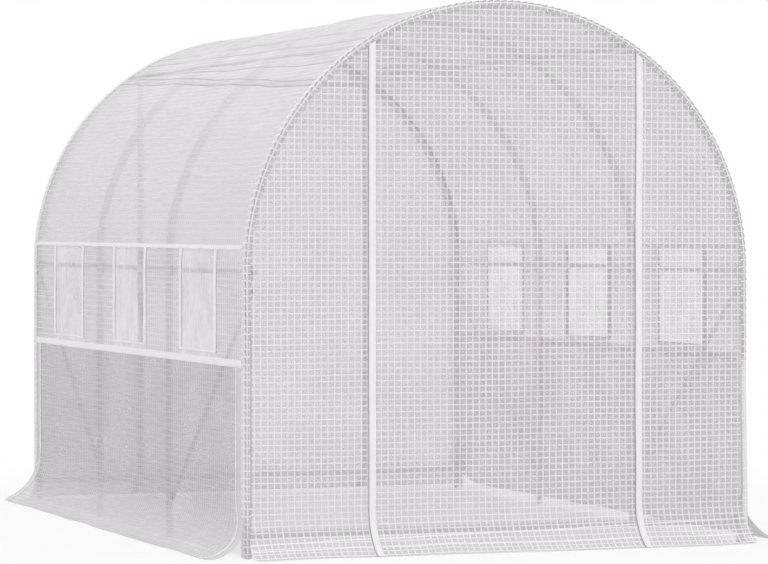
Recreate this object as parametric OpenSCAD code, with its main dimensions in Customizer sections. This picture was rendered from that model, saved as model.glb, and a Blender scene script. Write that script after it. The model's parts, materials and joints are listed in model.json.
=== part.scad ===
// Walk-in polytunnel greenhouse: four tube hoops under a sewn cover of reinforced film.
// X runs across the tunnel, Y along it and Z up. The front end faces -Y, and the ground is Z = 0.

/* [Cover] */
// Width over the film of the two side walls
cover_w = 2000; // [1800:10:2400]
// Length over the film of the two end walls
cover_l = 3000; // [2900:10:4000]
// Height of the spring line, where the straight walls turn into the arch
spring_z = 1040; // [1000:5:1120]
// Thickness of a film sheet
film_t = 3; // [2:0.5:4]
// Gap between layers that are sewn, zipped or tied together
seat = 0.3; // [0.1:0.1:0.5]

/* [Skirts] */
// Radius of the curve in which a side skirt turns outwards
side_flare_r = 177; // [120:1:220]
// Angle through which a side skirt turns
side_flare_angle = 81; // [50:1:85]
// Radius of the curve in which an end skirt turns outwards
end_flare_r = 194; // [120:1:240]
// Angle through which an end skirt turns
end_flare_angle = 61; // [45:1:85]
// Distance from the end of the cover to the cut edge of a side skirt
skirt_inset = 45; // [44:1:80]
// Distance from the end of the cover to the piping along a side skirt's edge
piping_inset = 108; // [90:1:160]
// Width of that piping
piping_w = 7; // [4:1:12]

/* [Tapes] */
// Thickness of tapes, bindings and strips
tape_t = 2; // [1:0.5:3]
// Height of the middle of the lower tape, where the side skirt is sewn on
lower_tape_z = 705; // [640:5:760]
// Width of the lower tape
lower_tape_w = 27; // [16:1:40]
// Height of the middle of the upper tape, where the roof sheet is sewn on
upper_tape_z = 1130; // [1000:5:1180]
// Width of the upper tape
upper_tape_w = 20; // [12:1:30]
// Width of the binding round an end arch, on the end wall
binding_face_w = 20; // [16:1:30]
// Width of the binding round an end arch, on the roof and the side walls
binding_side_w = 43; // [30:1:44]
// Height at which the binding ends above the ground
binding_foot_z = 30; // [20:5:160]

/* [Door] */
// Distance between the middles of the two zips of a roll-up door
door_w = 1068; // [900:2:1200]
// Distance of the door's middle to the right of the end wall's middle
door_shift = 22; // [-60:2:60]
// Width of the tape that covers a zip
zip_w = 27; // [20:1:44]

/* [Windows] */
// Distance between the middles of neighbouring windows
window_pitch = 920; // [760:10:960]
// Width of a window opening
window_w = 400; // [300:5:480]
// Thickness of the insect screen in a window
screen_t = 2; // [1:0.5:2]
// Thickness of the flap that covers a window
flap_t = 2; // [1:0.5:3]
// Reach of the flap past each side of the opening
flap_side_lap = 35; // [20:1:60]
// Reach of the flap above the opening
flap_top_lap = 10; // [6:1:30]
// Width of the fastening strip along each side of a flap
strip_w = 30; // [20:1:50]
// Height of the hem along the lower edge of a flap, which ends at the opening
hem_h = 24; // [14:1:40]

/* [Frame] */
// Outer diameter of the hoops, legs and base rails
hoop_d = 25; // [19:1:32]
// Outer diameter of the purlins and of the tie bar
purlin_d = 19; // [16:1:25]
// Outer diameter of the braces
brace_d = 16; // [12:1:19]
// Angle of a roof purlin above the spring line
roof_purlin_angle = 60; // [58:1:75]
// Drop of the eave purlins below the spring line
eave_drop = 3; // [0:1:20]
// Drop of a brace's upper bolt below the spring line
brace_top_drop = 75; // [60:1:140]
// Height of a brace's lower bolt above the ground
brace_foot_z = 150; // [130:5:240]
// Length of the flattened tab at each end of a brace
brace_tab = 48; // [44:1:70]
// Thickness of that tab
tab_t = 4; // [3:0.5:6]
// Height of the middle of a base rail
rail_z = 84; // [60:1:120]
// Angle above the spring line at which the tie bar meets the rear hoop
tie_bar_angle = 54.6; // [46:0.1:55]

/* [Hidden] */
$fn = 240;
cover_r = cover_w / 2;
wall_y = cover_l / 2;
big = 2 * (cover_w + cover_l + spring_z);

// Hoops touch the inside of the film, and purlins and braces lie against the inside of the hoops
hoop_r = hoop_d / 2;
hoop_x = cover_r - film_t - seat - hoop_r;
end_hoop_y = wall_y - film_t - seat - hoop_r;
middle_hoop_y = end_hoop_y / 3;
inner_x = hoop_x - hoop_r - seat;
inner_y = end_hoop_y - hoop_r - seat;
purlin_r = inner_x - purlin_d / 2;

// Skirts end on the ground
side_flare_z = (side_flare_r + film_t) * sin(side_flare_angle);
end_flare_z = (end_flare_r + film_t) * sin(end_flare_angle);

// End walls stand inside the roof sheet, and are cut back to the binding where they flare
panel_r = cover_r - film_t - seat;
trim_r = cover_r - binding_face_w - seat;
tape_end_y = wall_y - binding_side_w - seat;

// Flaps hang from the upper tape to the lower one
flap_foot_z = lower_tape_z + lower_tape_w / 2 + seat;
flap_top_z = upper_tape_z - upper_tape_w / 2 - seat;
window_foot_z = flap_foot_z + hem_h;
window_top_z = flap_top_z - flap_top_lap;
window_ys = [-window_pitch, 0, window_pitch];

steel = [0.66, 0.68, 0.7];
film = [0.9, 0.91, 0.93, 0.6];
tape = [0.96, 0.96, 0.97];
mesh = [0.84, 0.85, 0.88, 0.8];

// Every side piece is drawn on the right and every end piece at the front; these turn them over
module left() mirror([1, 0, 0]) children();
module rear() mirror([0, 1, 0]) children();
module both_ends() {
    children();
    rear() children();
}

// Stands a flat shape in the XZ plane and draws it out along Y
module run_along(y0, y1)
    translate([0, y1, 0]) rotate([90, 0, 0]) linear_extrude(y1 - y0) children();

// Outline of the cover's cross-section, off millimetres outside its outer face
module arch_outline(off) {
    r = cover_r + off;
    translate([0, spring_z]) circle(r);
    translate([-r, 0]) square([2 * r, spring_z]);
}

// Layer of thickness t on that outline, cut off below the height foot
module arch_layer(off, t, foot) intersection() {
    difference() {
        arch_outline(off + t);
        arch_outline(off);
    }
    translate([-big / 2, foot]) square([big, big]);
}

// Part of such a layer on the right-hand wall, between two heights and two places along Y
module wall_strip(off, t, z0, z1, y0, y1) run_along(y0, y1) intersection() {
    arch_layer(off, t, z0);
    translate([0, z0]) square([big, z1 - z0]);
}

// Layer of a wall that turns outwards at its foot: the wall's outer face is x = 0, the turn starts at y = 0
module flare_profile(off, t, r, angle, top) {
    reach = 2 * r;
    translate([r, 0]) intersection() {
        difference() {
            circle(r - off);
            circle(r - off - t);
        }
        polygon([[0, 0], [-reach, 0], [-reach * cos(angle), -reach * sin(angle)]]);
    }
    translate([off, 0]) square([t, top]);
}

// Right-hand wall and front wall with their flares; off and t say which layer, top how high it goes
module side_wall(off, t, y0, y1, top)
    translate([cover_r, 0, side_flare_z]) run_along(y0, y1)
        flare_profile(off, t, side_flare_r, side_flare_angle, top - side_flare_z);
module end_wall(off, t, x0, x1, top)
    rotate([0, 0, -90]) translate([wall_y, 0, end_flare_z]) run_along(x0, x1)
        flare_profile(off, t, end_flare_r, end_flare_angle, top - end_flare_z);

// Front wall between two zips or a zip and the corner, rounded off to an arch of radius r
module end_piece(off, t, x0, x1, r) intersection() {
    end_wall(off, t, x0, x1, spring_z + r);
    run_along(-big, big) {
        translate([0, spring_z]) circle(r);
        translate([-r, end_flare_z]) square([2 * r, spring_z - end_flare_z]);
        translate([-trim_r, 0]) square([2 * trim_r, end_flare_z]);
    }
}

// Tubes of the frame
module legs() for (y = [-end_hoop_y, -middle_hoop_y, middle_hoop_y, end_hoop_y])
    translate([hoop_x, y, 0]) cylinder(h = spring_z - seat / 2, r = hoop_r);
module arch(y) translate([0, y, spring_z + seat / 2]) rotate([90, 0, 0])
    rotate_extrude(angle = 180) translate([hoop_x, 0]) circle(hoop_r);
module purlin(x, z) translate([x, 0, z]) rotate([90, 0, 0])
    cylinder(h = 2 * (end_hoop_y + hoop_r), d = purlin_d, center = true);
module cross_tube(d, half, z) translate([0, inner_y - d / 2, z]) rotate([0, 90, 0])
    cylinder(h = 2 * half, d = d, center = true);

// Tube along Z with both ends beaten flat into round-ended tabs, which lie across X
module flat_ended_tube(l, d) {
    tab_w = PI * d / 2;
    translate([0, 0, brace_tab]) cylinder(h = l - 2 * brace_tab, d = d);
    for (end = [0, l]) {
        translate([0, 0, end]) rotate([0, 90, 0]) cylinder(h = tab_t, d = tab_w, center = true);
        translate([-tab_t / 2, -tab_w / 2, end == 0 ? 0 : l - brace_tab - tab_t])
            cube([tab_t, tab_w, brace_tab + tab_t]);
    }
}

// Brace from the foot of a middle leg up to the head of the end leg, against the inside of both
module brace() {
    rise = spring_z - brace_top_drop - brace_foot_z;
    run = end_hoop_y - middle_hoop_y;
    translate([inner_x - tab_t / 2, -middle_hoop_y, brace_foot_z]) rotate([atan2(run, rise), 0, 0])
        flat_ended_tube(norm([run, rise]), brace_d);
}
module roof_purlin() purlin(purlin_r * cos(roof_purlin_angle), spring_z + purlin_r * sin(roof_purlin_angle));
module base_rail() cross_tube(hoop_d, hoop_x, rail_z);

module left_legs() color(steel) left() legs();
module right_legs() color(steel) legs();
module front_arch() color(steel) arch(-end_hoop_y);
module front_middle_arch() color(steel) arch(-middle_hoop_y);
module rear_middle_arch() color(steel) arch(middle_hoop_y);
module rear_arch() color(steel) arch(end_hoop_y);
module left_eave_purlin() color(steel) purlin(-purlin_r, spring_z - eave_drop);
module right_eave_purlin() color(steel) purlin(purlin_r, spring_z - eave_drop);
module left_roof_purlin() color(steel) left() roof_purlin();
module right_roof_purlin() color(steel) roof_purlin();
module left_braces() color(steel) left() both_ends() brace();
module right_braces() color(steel) both_ends() brace();
module front_base_rail() color(steel) rear() base_rail();
module rear_base_rail() color(steel) base_rail();
module rear_tie_bar() color(steel)
    cross_tube(purlin_d, hoop_x * cos(tie_bar_angle), spring_z + hoop_x * sin(tie_bar_angle));

// Sheets of the cover
module window_wall() difference() {
    wall_strip(-film_t, film_t, lower_tape_z + seat / 2, upper_tape_z - seat / 2, -wall_y, wall_y);
    for (y = window_ys)
        translate([0, y - window_w / 2, window_foot_z])
            cube([big, window_w, window_top_z - window_foot_z]);
}
module skirt() side_wall(-film_t, film_t, -wall_y + skirt_inset, wall_y - skirt_inset, lower_tape_z - seat / 2);
module left_panel() end_piece(-film_t, film_t, -panel_r, door_shift - (door_w + seat) / 2, panel_r);
module right_panel() end_piece(-film_t, film_t, door_shift + (door_w + seat) / 2, panel_r, panel_r);
module door() end_piece(-film_t, film_t,
    door_shift - (door_w - seat) / 2, door_shift + (door_w - seat) / 2, panel_r);

module roof_sheet() color(film) run_along(-wall_y, wall_y)
    arch_layer(-film_t, film_t, upper_tape_z + seat / 2);
module left_window_wall() color(film) left() window_wall();
module right_window_wall() color(film) window_wall();
module left_skirt() color(film) left() skirt();
module right_skirt() color(film) skirt();
module front_left_panel() color(film) left_panel();
module front_right_panel() color(film) right_panel();
module front_door() color(film) door();
module rear_left_panel() color(film) rear() left_panel();
module rear_right_panel() color(film) rear() right_panel();
module rear_door() color(film) rear() door();

// Tapes, zips and bindings on the outside of the sheets
module side_tape(z, w) wall_strip(seat, tape_t, z - w / 2, z + w / 2, -tape_end_y, tape_end_y);
module piping() both_ends() translate([0, piping_inset - wall_y, 0])
    side_wall(seat, tape_t, -piping_w / 2, piping_w / 2, lower_tape_z - lower_tape_w / 2 - seat);
module zips() for (x = [door_shift - door_w / 2, door_shift + door_w / 2])
    end_piece(seat, tape_t, x - zip_w / 2, x + zip_w / 2, trim_r);

// Angle strip round the end arch: one leg on the end wall, the other on the roof and the side walls
module binding() difference() {
    run_along(-wall_y - seat - tape_t, -wall_y + binding_side_w)
        arch_layer(-binding_face_w, binding_face_w + seat + tape_t, binding_foot_z);
    run_along(-wall_y - seat, 0) arch_outline(seat);
}

module left_upper_tape() color(tape) left() side_tape(upper_tape_z, upper_tape_w);
module right_upper_tape() color(tape) side_tape(upper_tape_z, upper_tape_w);
module left_lower_tape() color(tape) left() side_tape(lower_tape_z, lower_tape_w);
module right_lower_tape() color(tape) side_tape(lower_tape_z, lower_tape_w);
module left_piping() color(tape) left() piping();
module right_piping() color(tape) piping();
module front_zips() color(tape) zips();
module rear_zips() color(tape) rear() zips();
module front_binding() color(tape) binding();
module rear_binding() color(tape) rear() binding();

// Windows: a screen in each opening, a flap over it, and strips and a hem round three sides of the flap
module screens() for (y = window_ys)
    wall_strip(-(film_t + screen_t) / 2, screen_t, window_foot_z + seat, window_top_z - seat,
        y - window_w / 2 + seat, y + window_w / 2 - seat);
module flap(off, t, y) wall_strip(off, t, flap_foot_z, flap_top_z,
    y - window_w / 2 - flap_side_lap, y + window_w / 2 + flap_side_lap);
module flap_trims() for (y = window_ys) difference() {
    flap(2 * seat + flap_t, tape_t, y);
    translate([0, y - window_w / 2 - flap_side_lap + strip_w, flap_foot_z + hem_h])
        cube([big, window_w + 2 * (flap_side_lap - strip_w), flap_top_z]);
}
module flaps() for (y = window_ys) flap(seat, flap_t, y);

module left_screens() color(mesh) left() screens();
module right_screens() color(mesh) screens();
module left_flaps() color(film) left() flaps();
module right_flaps() color(film) flaps();
module left_flap_trims() color(tape) left() flap_trims();
module right_flap_trims() color(tape) flap_trims();

left_legs();
right_legs();
front_arch();
front_middle_arch();
rear_middle_arch();
rear_arch();
left_eave_purlin();
right_eave_purlin();
left_roof_purlin();
right_roof_purlin();
left_braces();
right_braces();
front_base_rail();
rear_base_rail();
rear_tie_bar();
roof_sheet();
left_window_wall();
right_window_wall();
left_skirt();
right_skirt();
front_left_panel();
front_door();
front_right_panel();
rear_left_panel();
rear_door();
rear_right_panel();
left_upper_tape();
right_upper_tape();
left_lower_tape();
right_lower_tape();
left_piping();
right_piping();
front_zips();
rear_zips();
front_binding();
rear_binding();
left_screens();
right_screens();
left_flaps();
right_flaps();
left_flap_trims();
right_flap_trims();
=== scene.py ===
# %% [markdown]
# # A walk-in polytunnel greenhouse
# Four steel hoops carry a sewn cover of reinforced film. The steel comes from the CAD
# model and only gets a finish here. Everything that is cloth or film is modelled again as
# a thin sheet with sag, folds and seams, because a stiff solid can't show those.

# %% Load the CAD frame
import json
import math
from functools import partial

import bpy
import numpy as np
from mathutils import Matrix, Vector


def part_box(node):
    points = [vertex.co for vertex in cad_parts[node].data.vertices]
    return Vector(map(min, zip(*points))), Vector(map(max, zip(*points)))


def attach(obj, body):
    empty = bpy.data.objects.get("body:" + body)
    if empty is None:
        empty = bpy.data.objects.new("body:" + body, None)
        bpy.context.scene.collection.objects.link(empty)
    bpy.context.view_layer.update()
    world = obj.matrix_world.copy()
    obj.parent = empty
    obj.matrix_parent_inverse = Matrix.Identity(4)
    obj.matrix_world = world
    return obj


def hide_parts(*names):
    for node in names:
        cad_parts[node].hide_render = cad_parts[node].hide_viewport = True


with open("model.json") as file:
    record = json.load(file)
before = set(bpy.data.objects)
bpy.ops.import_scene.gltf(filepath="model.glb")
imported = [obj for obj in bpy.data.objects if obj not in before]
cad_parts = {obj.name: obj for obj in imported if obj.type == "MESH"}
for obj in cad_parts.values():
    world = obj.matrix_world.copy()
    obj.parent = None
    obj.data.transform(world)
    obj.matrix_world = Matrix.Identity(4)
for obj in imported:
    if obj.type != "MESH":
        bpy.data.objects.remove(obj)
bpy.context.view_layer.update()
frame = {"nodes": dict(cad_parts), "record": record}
nodes = frame["nodes"]

# %% [markdown]
# ## The camera
# The picture was taken from far away with a long lens, a little left of the front and at
# about chest height. A wide lens close by would make the front look too big, so the
# distance matters as much as the direction.

# %% Camera
CAMERA_PLACE, CAMERA_LENS = (-4.969, -13.698, 1.221), 166.4
CAMERA_YAW, CAMERA_PITCH = math.radians(20.26), math.radians(-0.97)
CAMERA_TURN = (math.radians(90) + CAMERA_PITCH, 0, -CAMERA_YAW)
bpy.ops.object.camera_add(location=CAMERA_PLACE, rotation=CAMERA_TURN)
camera = bpy.context.active_object
camera.name = "camera"
camera.data.sensor_width = 36
camera.data.lens = CAMERA_LENS
camera.data.clip_end = 200
bpy.context.scene.camera = camera
print("camera stands at", CAMERA_PLACE, "with a", round(CAMERA_LENS), "mm lens")

# %% [markdown]
# ## Measures of the tunnel
# The CAD model is the ruler. Its boxes give the width, the length and the height of the
# arch, and the other values repeat the ones that the CAD model was drawn with, in metres.
# A tape is given as the height of its middle and its width.

# %% Measures
SIDES, ENDS = (("left", -1), ("right", 1)), (("front", -1), ("rear", 1))
COVER_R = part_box("right_window_wall")[1].x
WALL_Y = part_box("roof_sheet")[1].y
SPRING_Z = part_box("roof_sheet")[1].z - COVER_R
HALF_ROUND = math.pi * COVER_R
CAD_FILM, SEAT = 0.003, 0.0003
SIDE_FLARE_R, SIDE_FLARE_ANGLE = 0.177, math.radians(81)
SIDE_FLARE_L = SIDE_FLARE_R * SIDE_FLARE_ANGLE
SIDE_FLARE_Z = (SIDE_FLARE_R + CAD_FILM) * math.sin(SIDE_FLARE_ANGLE)
END_FLARE_R, END_FLARE_ANGLE = 0.194, math.radians(61)
END_FLARE_L = END_FLARE_R * END_FLARE_ANGLE
END_FLARE_Z = (END_FLARE_R + CAD_FILM) * math.sin(END_FLARE_ANGLE)
BIND_FACE, BIND_SIDE, BIND_FOOT = 0.020, 0.043, 0.004
PANEL_R = COVER_R - CAD_FILM - SEAT
TRIM_R = COVER_R - BIND_FACE - SEAT
LOWER_TAPE, UPPER_TAPE = (0.705, 0.027), (1.130, 0.020)
SKIRT_Y, PIPING_Y, TAPE_Y = WALL_Y - 0.045, WALL_Y - 0.108, WALL_Y - BIND_SIDE - SEAT
DOOR_HALF, DOOR_MIDDLE = 0.534, 0.022
ZIP_XS, ZIP_W = (DOOR_MIDDLE - DOOR_HALF, DOOR_MIDDLE + DOOR_HALF), 0.027
WINDOW_YS, WINDOW_W = (-0.92, 0.0, 0.92), 0.4
FLAP_FOOT = LOWER_TAPE[0] + LOWER_TAPE[1] / 2 + SEAT
FLAP_TOP = UPPER_TAPE[0] - UPPER_TAPE[1] / 2 - SEAT
HEM_TOP = FLAP_FOOT + 0.024
WINDOW_FOOT, WINDOW_TOP = HEM_TOP, FLAP_TOP - 0.010
FLAP_HALF = WINDOW_W / 2 + 0.035
HOOP_YS = (-1.4842, -0.4947, 0.4947, 1.4842)
HOOP_GAP = HOOP_YS[1] - HOOP_YS[0]
print("arch radius", round(COVER_R, 3), "and half length", round(WALL_Y, 3))

# %% [markdown]
# ## Ways along the cover
# A wall of the cover is one long curve: it lies on the ground, turns up, runs straight and,
# on the sides, goes over in an arch. Each point has a length along that curve, as if the
# film were measured with a tape from its hem. Sheets, tapes and zips all use the same two
# place functions, so a tape always lies on the sheet that it is sewn to. Every wave in the
# film has a height and a size in metres.

# %% Soft steps, humps and waves
def soft_noise(u, v, size, seed):
    """Smooth waves of about that size: a few sines in seeded directions, from about -1 to 1."""
    rng = np.random.default_rng(seed)
    total = 0
    for turn, phase, scale in rng.uniform((0, 0, 0.7), (math.pi, 2 * math.pi, 1.4), (7, 3)):
        along = u * math.cos(turn) + v * math.sin(turn)
        total = total + np.sin(2 * math.pi * along / (size * scale) + phase)
    return total / 4


def smooth(low, high, v):
    """A soft step from 0 at low to 1 at high, level beyond both; low may be above high."""
    t = np.clip((v - low) / (high - low), 0, 1)
    return t * t * (3 - 2 * t)


def hump(v, middle, width):
    """1 at the middle and about a third at that width beside it."""
    return np.exp(-(((v - middle) / width) ** 2))


def round_off(v, height):
    """What a round corner of that height takes off: 1 at v = 0, and 0 above the corner."""
    return 1 - np.sqrt(1 - np.clip(1 - v / height, 0, 1) ** 2)


def bay_wave(y):
    """0 at each hoop and 1 half way between two hoops."""
    return np.sin(math.pi * (y - HOOP_YS[0]) / HOOP_GAP) ** 2


print("bay between two hoops:", round(HOOP_GAP, 3), "m")

# %% Paths of the side walls and the end walls
HEM_Z = 0.0016


def side_length(z):
    """Length along a side wall, from the hem to that height on the outside."""
    straight = SIDE_FLARE_L + np.minimum(z, SPRING_Z) - SIDE_FLARE_Z
    return straight + COVER_R * np.arcsin(np.maximum(z - SPRING_Z, 0) / COVER_R)


def side_wave(y, s):
    """How far a side wall stands off its flat place, outwards."""
    flare = smooth(0.30, 0.02, s)
    slack = bay_wave(y) * smooth(0.1, 0.45, s) * smooth(0.80, 0.68, s)
    return (
        0.006 * slack * soft_noise(y, s, 0.55, 3)
        + 0.0012 * soft_noise(y, s, 0.16, 4) * bay_wave(y)
        + 0.004 * flare * soft_noise(y, s * 0.3, 0.5, 5)
    )


def side_place(side, y, s, off):
    """Points on a side wall (side 1 is the right one), off metres outside its face."""
    turn = np.clip(SIDE_FLARE_ANGLE - s / SIDE_FLARE_R, 0, None)
    rise = np.clip(s - SIDE_FLARE_L, 0, SPRING_Z - SIDE_FLARE_Z)
    bow = np.clip((s - SIDE_FLARE_L - SPRING_Z + SIDE_FLARE_Z) / COVER_R, 0, None)
    off = off + side_wave(y, s)
    x = COVER_R * np.cos(bow) + SIDE_FLARE_R * (1 - np.cos(turn)) + off * np.cos(turn) * np.cos(bow)
    z = SIDE_FLARE_Z - SIDE_FLARE_R * np.sin(turn) + rise + COVER_R * np.sin(bow)
    z = z + off * (np.sin(turn) + np.sin(bow))
    return np.stack([side * x, y, np.maximum(z, HEM_Z)], axis=1)


def end_length(z):
    """Length along an end wall, from the hem to that height on the outside."""
    return END_FLARE_L + z - END_FLARE_Z


def end_wave(x, s):
    """How far an end wall stands off its flat place, outwards."""
    to_arch = PANEL_R - np.hypot(x, np.maximum(s - end_length(SPRING_Z), 0))
    free = smooth(0.02, 0.22, to_arch) * smooth(0.12, 0.4, s)
    flare = smooth(0.26, 0.05, s)
    fold = hump(x, -0.225, 0.075) * hump(s, 0.045, 0.03)
    return (
        0.005 * free * soft_noise(x, s, 0.7, 11)
        + 0.0012 * free * soft_noise(x, s, 0.17, 12)
        + 0.004 * flare * soft_noise(x, s * 0.3, 0.45, 13)
        + 0.007 * fold
    )


def end_place(end, x, s, off):
    """Points on an end wall (end -1 is the front one), off metres outside its face."""
    turn = np.clip(END_FLARE_ANGLE - s / END_FLARE_R, 0, None)
    rise = np.clip(s - END_FLARE_L, 0, None)
    off = off + end_wave(x, s)
    y = WALL_Y + END_FLARE_R * (1 - np.cos(turn)) + off * np.cos(turn)
    z = END_FLARE_Z - END_FLARE_R * np.sin(turn) + rise + off * np.sin(turn)
    return np.stack([x, end * y, np.maximum(z, HEM_Z)], axis=1)


SKIRT_TOP = float(side_length(LOWER_TAPE[0]))
print("skirt:", round(SKIRT_TOP, 3), "m of film from its hem to its tape")

# %% [markdown]
# ## A sheet from a grid
# A sheet starts as Blender's flat grid. Its points are laid on the wall by a function of
# their place in the grid, and its UV map keeps the place on the flat cloth in metres, so a
# woven pattern follows the cloth wherever it bends. Solidify then gives it its thickness.

# %% Helpers that make a sheet
FILM_T, SMOOTH_ANGLE = 0.0012, math.radians(50)


def choose(*pieces):
    """Selects those pieces and no others, and makes the first one active."""
    bpy.ops.object.select_all(action="DESELECT")
    for piece in pieces:
        piece.select_set(True)
    bpy.context.view_layer.objects.active = pieces[0]


def pick(piece, kind, wanted):
    """Goes into edit mode with only the wanted faces or edges selected."""
    bpy.ops.object.mode_set(mode="EDIT")
    bpy.ops.mesh.select_mode(type=kind)
    bpy.ops.mesh.select_all(action="DESELECT")
    bpy.ops.object.mode_set(mode="OBJECT")
    for part in piece.data.polygons if kind == "FACE" else piece.data.edges:
        part.select = bool(wanted(part))
    bpy.ops.object.mode_set(mode="EDIT")


def face_along(piece, outward):
    """Turns the active sheet round if most of it faces away from that direction."""
    if sum(np.dot(face.normal, outward) * face.area for face in piece.data.polygons) < 0:
        bpy.ops.object.mode_set(mode="EDIT")
        bpy.ops.mesh.select_all(action="SELECT")
        bpy.ops.mesh.flip_normals()
        bpy.ops.object.mode_set(mode="OBJECT")


def thicken(piece, thickness):
    """Gives a sheet its thickness, inwards from the face that was laid out."""
    choose(piece)
    solid = piece.modifiers.new("thickness", "SOLIDIFY")
    solid.thickness, solid.offset = thickness, -1
    bpy.ops.object.modifier_apply(modifier=solid.name)
    bpy.ops.object.shade_smooth_by_angle(angle=SMOOTH_ANGLE)


def join_parts(name, parts):
    """Joins parts into one piece of that name."""
    choose(*parts)
    bpy.ops.object.join()
    parts[0].name = parts[0].data.name = name
    return parts[0]


def lay_sheet(name, grid, outward, thickness, shape, *values):
    """A grid (columns, rows) whose points and cloth coordinates are shape(s, t, *values), with s and t
    from 0 to 1. It faces outward, and its thickness makes it a thin closed sheet."""
    bpy.ops.mesh.primitive_grid_add(x_subdivisions=grid[0], y_subdivisions=grid[1], size=1)
    piece = bpy.context.active_object
    mesh = piece.data
    piece.name = mesh.name = name
    flat = np.empty(len(mesh.vertices) * 3)
    mesh.vertices.foreach_get("co", flat)
    flat = flat.reshape(-1, 3) + 0.5
    place, cloth = shape(flat[:, 0], flat[:, 1], *values)
    mesh.vertices.foreach_set("co", place.ravel())
    corner = np.empty(len(mesh.loops), dtype=np.int32)
    mesh.loops.foreach_get("vertex_index", corner)
    mesh.uv_layers.active.name = "cloth"
    mesh.uv_layers.active.data.foreach_set("uv", np.stack(cloth, axis=1)[corner].ravel())
    mesh.update()
    face_along(piece, outward)
    if thickness:
        thicken(piece, thickness)
    return piece


def finish(piece, material, slot, *stands_for):
    """Material, body and the CAD nodes that the piece stands for; slot is not used."""
    piece.data.materials.clear()
    piece.data.materials.append(material)
    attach(piece, "root")
    if stands_for:
        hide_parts(*stands_for)
    return piece


print("film is", FILM_T * 1000, "mm thick in the picture")

# %% [markdown]
# ## Node groups for woven things
# The film is two clear layers with a net of white threads between them. One node group
# draws that net from the cloth coordinates: it wanders a little, as woven threads do, and
# gives masks of the threads and their crossings. Film, binding and screen use it.

# %% Shader helpers and the thread net group
def tree_of(*values):
    """The node tree of the first socket among those values."""
    return next(v.id_data for v in values if isinstance(v, bpy.types.NodeSocket))


def feed(socket, value):
    """Links a socket to another one, or sets it to a plain value."""
    if isinstance(value, bpy.types.NodeSocket):
        socket.id_data.links.new(value, socket)
    else:
        socket.default_value = value


def fill(node, values):
    """Feeds a node's inputs by their names."""
    for name, value in values.items():
        feed(node.inputs[name], value)


def add_node(kind, *values):
    """A node in the tree of those values, which feed its inputs in order."""
    node = tree_of(*values).nodes.new("ShaderNode" + kind)
    for socket, value in zip(node.inputs, values):
        feed(socket, value)
    return node


def calc(operation, *values):
    """A Math node on those values; gives its output."""
    node = add_node("Math", *values)
    node.operation = operation
    return node.outputs[0]


plus, minus, times, most = (partial(calc, name) for name in ("ADD", "SUBTRACT", "MULTIPLY", "MAXIMUM"))


def step(value, low, high, out_low=0.0, out_high=1.0):
    """A soft step: out_low at low and out_high at high."""
    node = add_node("MapRange", value, low, high, out_low, out_high)
    node.interpolation_type = "SMOOTHSTEP"
    return node.outputs[0]


def noise(vector, scale, detail=2.0, roughness=0.5, kind="2D"):
    """A Noise texture, flat as the cloth is unless it says 3D."""
    node = add_node("TexNoise", vector)
    node.noise_dimensions = kind
    fill(node, {"Scale": scale, "Detail": detail, "Roughness": roughness})
    return node.outputs["Fac"]


def stretch(vector, scale):
    """The vector scaled by a Mapping node."""
    node = add_node("Mapping", vector)
    fill(node, {"Scale": scale})
    return node.outputs[0]


def parts_of(vector):
    """The numbers of a coordinate, of which a place on the cloth has two."""
    return add_node("SeparateXYZ", vector).outputs


def thread_mask(along, pitch, width):
    """1 on a thread and 0 between two threads, which stand pitch apart."""
    turn = calc("FRACT", calc("DIVIDE", along, pitch))
    away = times(calc("ABSOLUTE", minus(turn, 0.5)), pitch)
    return step(calc("DIVIDE", away, width), 0.35, 0.65, 1.0, 0.0)


thread_net = bpy.data.node_groups.new("thread net", "ShaderNodeTree")
for socket in ("Cloth", "Pitch across", "Pitch along", "Thread", "Wander"):
    kind = "NodeSocketVector" if socket == "Cloth" else "NodeSocketFloat"
    thread_net.interface.new_socket(socket, in_out="INPUT", socket_type=kind)
for socket in ("Threads", "Crossings"):
    thread_net.interface.new_socket(socket, in_out="OUTPUT", socket_type="NodeSocketFloat")
net_in = thread_net.nodes.new("NodeGroupInput").outputs
net_out = thread_net.nodes.new("NodeGroupOutput")
across, along = parts_of(net_in["Cloth"])[:2]
waves = [calc("SINE", plus(times(across, a), times(along, b))) for a, b in ((9, 4), (-5, 11))]
sway = times(plus(*waves), net_in["Wander"])
warp = thread_mask(plus(across, sway), net_in["Pitch across"], net_in["Thread"])
weft = thread_mask(plus(along, sway), net_in["Pitch along"], net_in["Thread"])
fill(net_out, {"Threads": most(warp, weft), "Crossings": times(warp, weft)})
print("node group made:", thread_net.name)

# %% [markdown]
# ## Finish of the film
# Seen from outside, the threads are nearly white and the cells between them are milky
# windows through which the hoops show as grey lines. Alpha does that: low in the cells and
# high on the threads. Each sheet has two faces, so each face carries half the effect. A look
# that strikes the film aslant passes through more of it, so Layer Weight raises the alpha
# there, as it would for tinted glass. Light that falls through onto other things loses
# less, because milky film scatters most of it onwards.

# %% Parts of a finish
LIGHT_HELD, ASLANT_POWER, STEEPEST = 0.30, -0.35, 0.12


def new_material(name, on_cloth=True):
    """A material, its Principled shader and coordinates on the flat cloth, or else in the object."""
    material = bpy.data.materials.new(name)
    material.use_nodes = True
    tree = material.node_tree
    if on_cloth:
        cloth = tree.nodes.new("ShaderNodeUVMap")
        cloth.uv_map = "cloth"
        where = cloth.outputs[0]
    else:
        where = tree.nodes.new("ShaderNodeTexCoord").outputs["Object"]
    return material, tree.nodes["Principled BSDF"], where


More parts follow.
